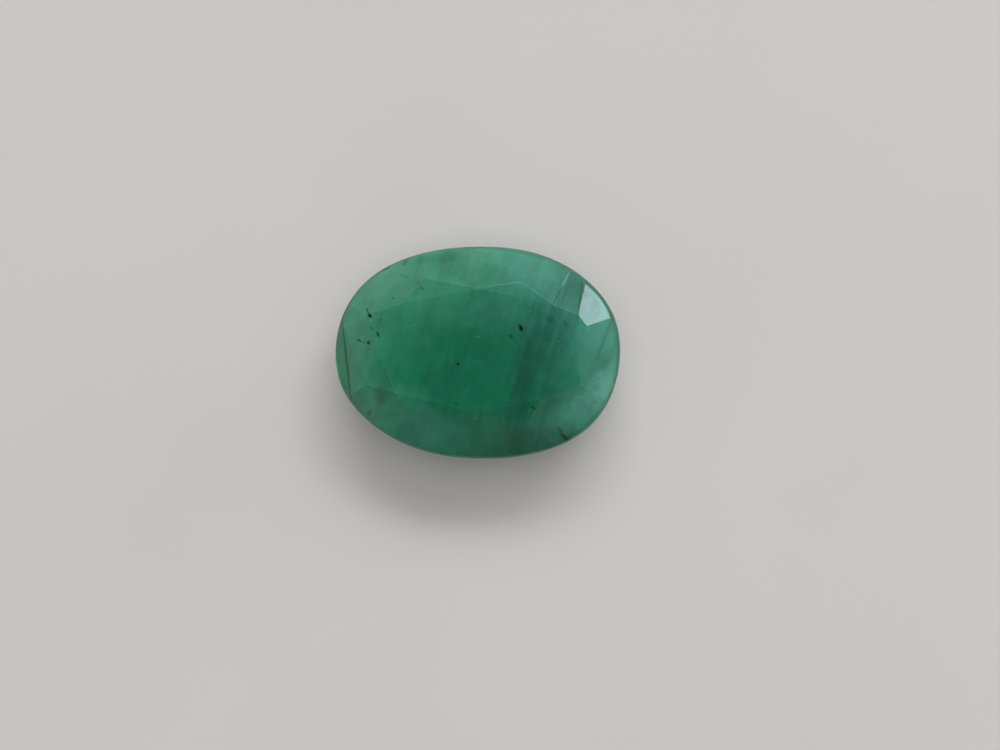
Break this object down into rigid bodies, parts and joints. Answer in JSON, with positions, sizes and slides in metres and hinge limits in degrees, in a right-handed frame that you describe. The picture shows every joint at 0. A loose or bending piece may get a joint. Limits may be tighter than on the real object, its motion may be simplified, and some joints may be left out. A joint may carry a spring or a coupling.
{
  "type": "oval faceted emerald gemstone",
  "caption": "Loose oval emerald with a flat table, a faceted crown, a thin rounded girdle and a step-cut pavilion that ends in a flat culet.",
  "frame": {"origin": "under the middle of the oval, on the plane that the flat culet rests on", "axes": "+X along the oval's long axis, +Y along its short axis, +Z out of the table"},
  "size_m": [0.011, 0.0082, 0.0042],
  "materials": {
    "emerald": "polished, milky and translucent"
  },
  "bodies": {
    "root": {"emerald": "emerald"}
  },
  "joints": []
}
